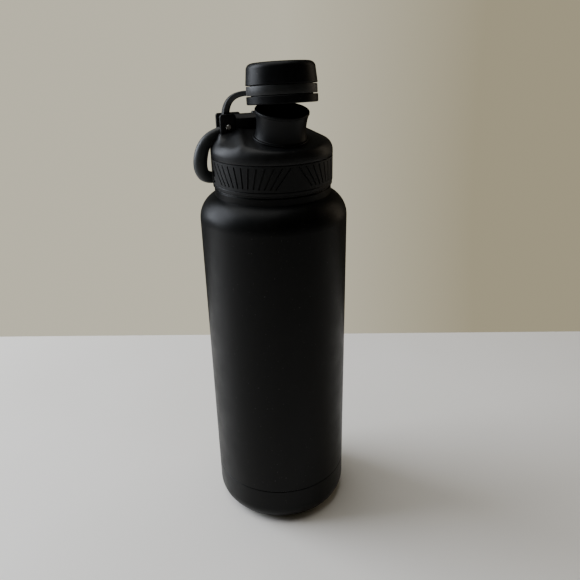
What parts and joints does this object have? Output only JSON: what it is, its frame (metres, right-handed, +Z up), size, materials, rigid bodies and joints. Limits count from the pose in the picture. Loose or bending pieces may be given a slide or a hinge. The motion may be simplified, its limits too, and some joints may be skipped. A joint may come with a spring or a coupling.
{
  "type": "growler",
  "caption": "Double-wall steel bottle with a screw lid, leaning pour spout, tethered spout cap and a side loop handle.",
  "frame": {"origin": "middle of the base, on the surface that the bottle stands on", "axes": "+Z up the bottle, -Y the way the spout leans, -X the handle's side"},
  "size_m": [0.0936, 0.093, 0.3085],
  "materials": {
    "coated_steel": "matt powder coat",
    "bare_steel": "electropolished",
    "getter": "sintered",
    "seal_bead": "fused bead",
    "silicone": "matt silicone",
    "lid_plastic": "fine moulded texture",
    "band_rubber": "soft touch",
    "spout_plastic": "satin moulded",
    "bar_plastic": "satin moulded",
    "pin_steel": "turned",
    "handle_rubber": "soft touch",
    "strap_rubber": "soft touch",
    "cap_plastic": "satin moulded"
  },
  "bodies": {
    "bottle": {"outer_shell": "coated_steel", "base_cup": "coated_steel", "inner_liner": "bare_steel", "getter": "getter", "vacuum_seal_bead": "seal_bead"},
    "lid_seal": {"lid_gasket": "silicone"},
    "lid": {"lid_shell": "lid_plastic", "lid_plug": "lid_plastic", "grip_band": "band_rubber", "spout": "spout_plastic", "spout_collar": "spout_plastic", "rear_bar": "bar_plastic", "tether_bracket": "bar_plastic", "tether_pin": "pin_steel", "handle": "handle_rubber", "handle_plug": "bar_plastic"},
    "strap": {"tether": "strap_rubber"},
    "cap": {"cap_knob": "cap_plastic", "cap_core": "cap_plastic", "cap_gasket": "silicone"}
  },
  "joints": [
    {"name": "lid_rise", "type": "slide", "parent": "bottle", "child": "lid_seal", "axis": [0, 0, 1], "range_m": [0, 0.005]},
    {"name": "lid_turn", "type": "hinge", "parent": "lid_seal", "child": "lid", "pos_m": [0, 0, 0.236], "axis": [0, 0, 1], "range_deg": [0, 450]},
    {"name": "strap_swing", "type": "hinge", "parent": "lid", "child": "strap", "pos_m": [-0.0256, 0.0085, 0.2713], "axis": [0, -1, 0], "range_deg": [0, 60]},
    {"name": "cap_turn", "type": "hinge", "parent": "strap", "child": "cap", "pos_m": [0.0018, -0.0155, 0.285], "axis": [0, 0.0976, 0.9952], "continuous": true}
  ],
  "couplings": [
    {"joint": "lid_rise", "follows": "lid_turn", "m_per_rad": 0.00063662}
  ]
}
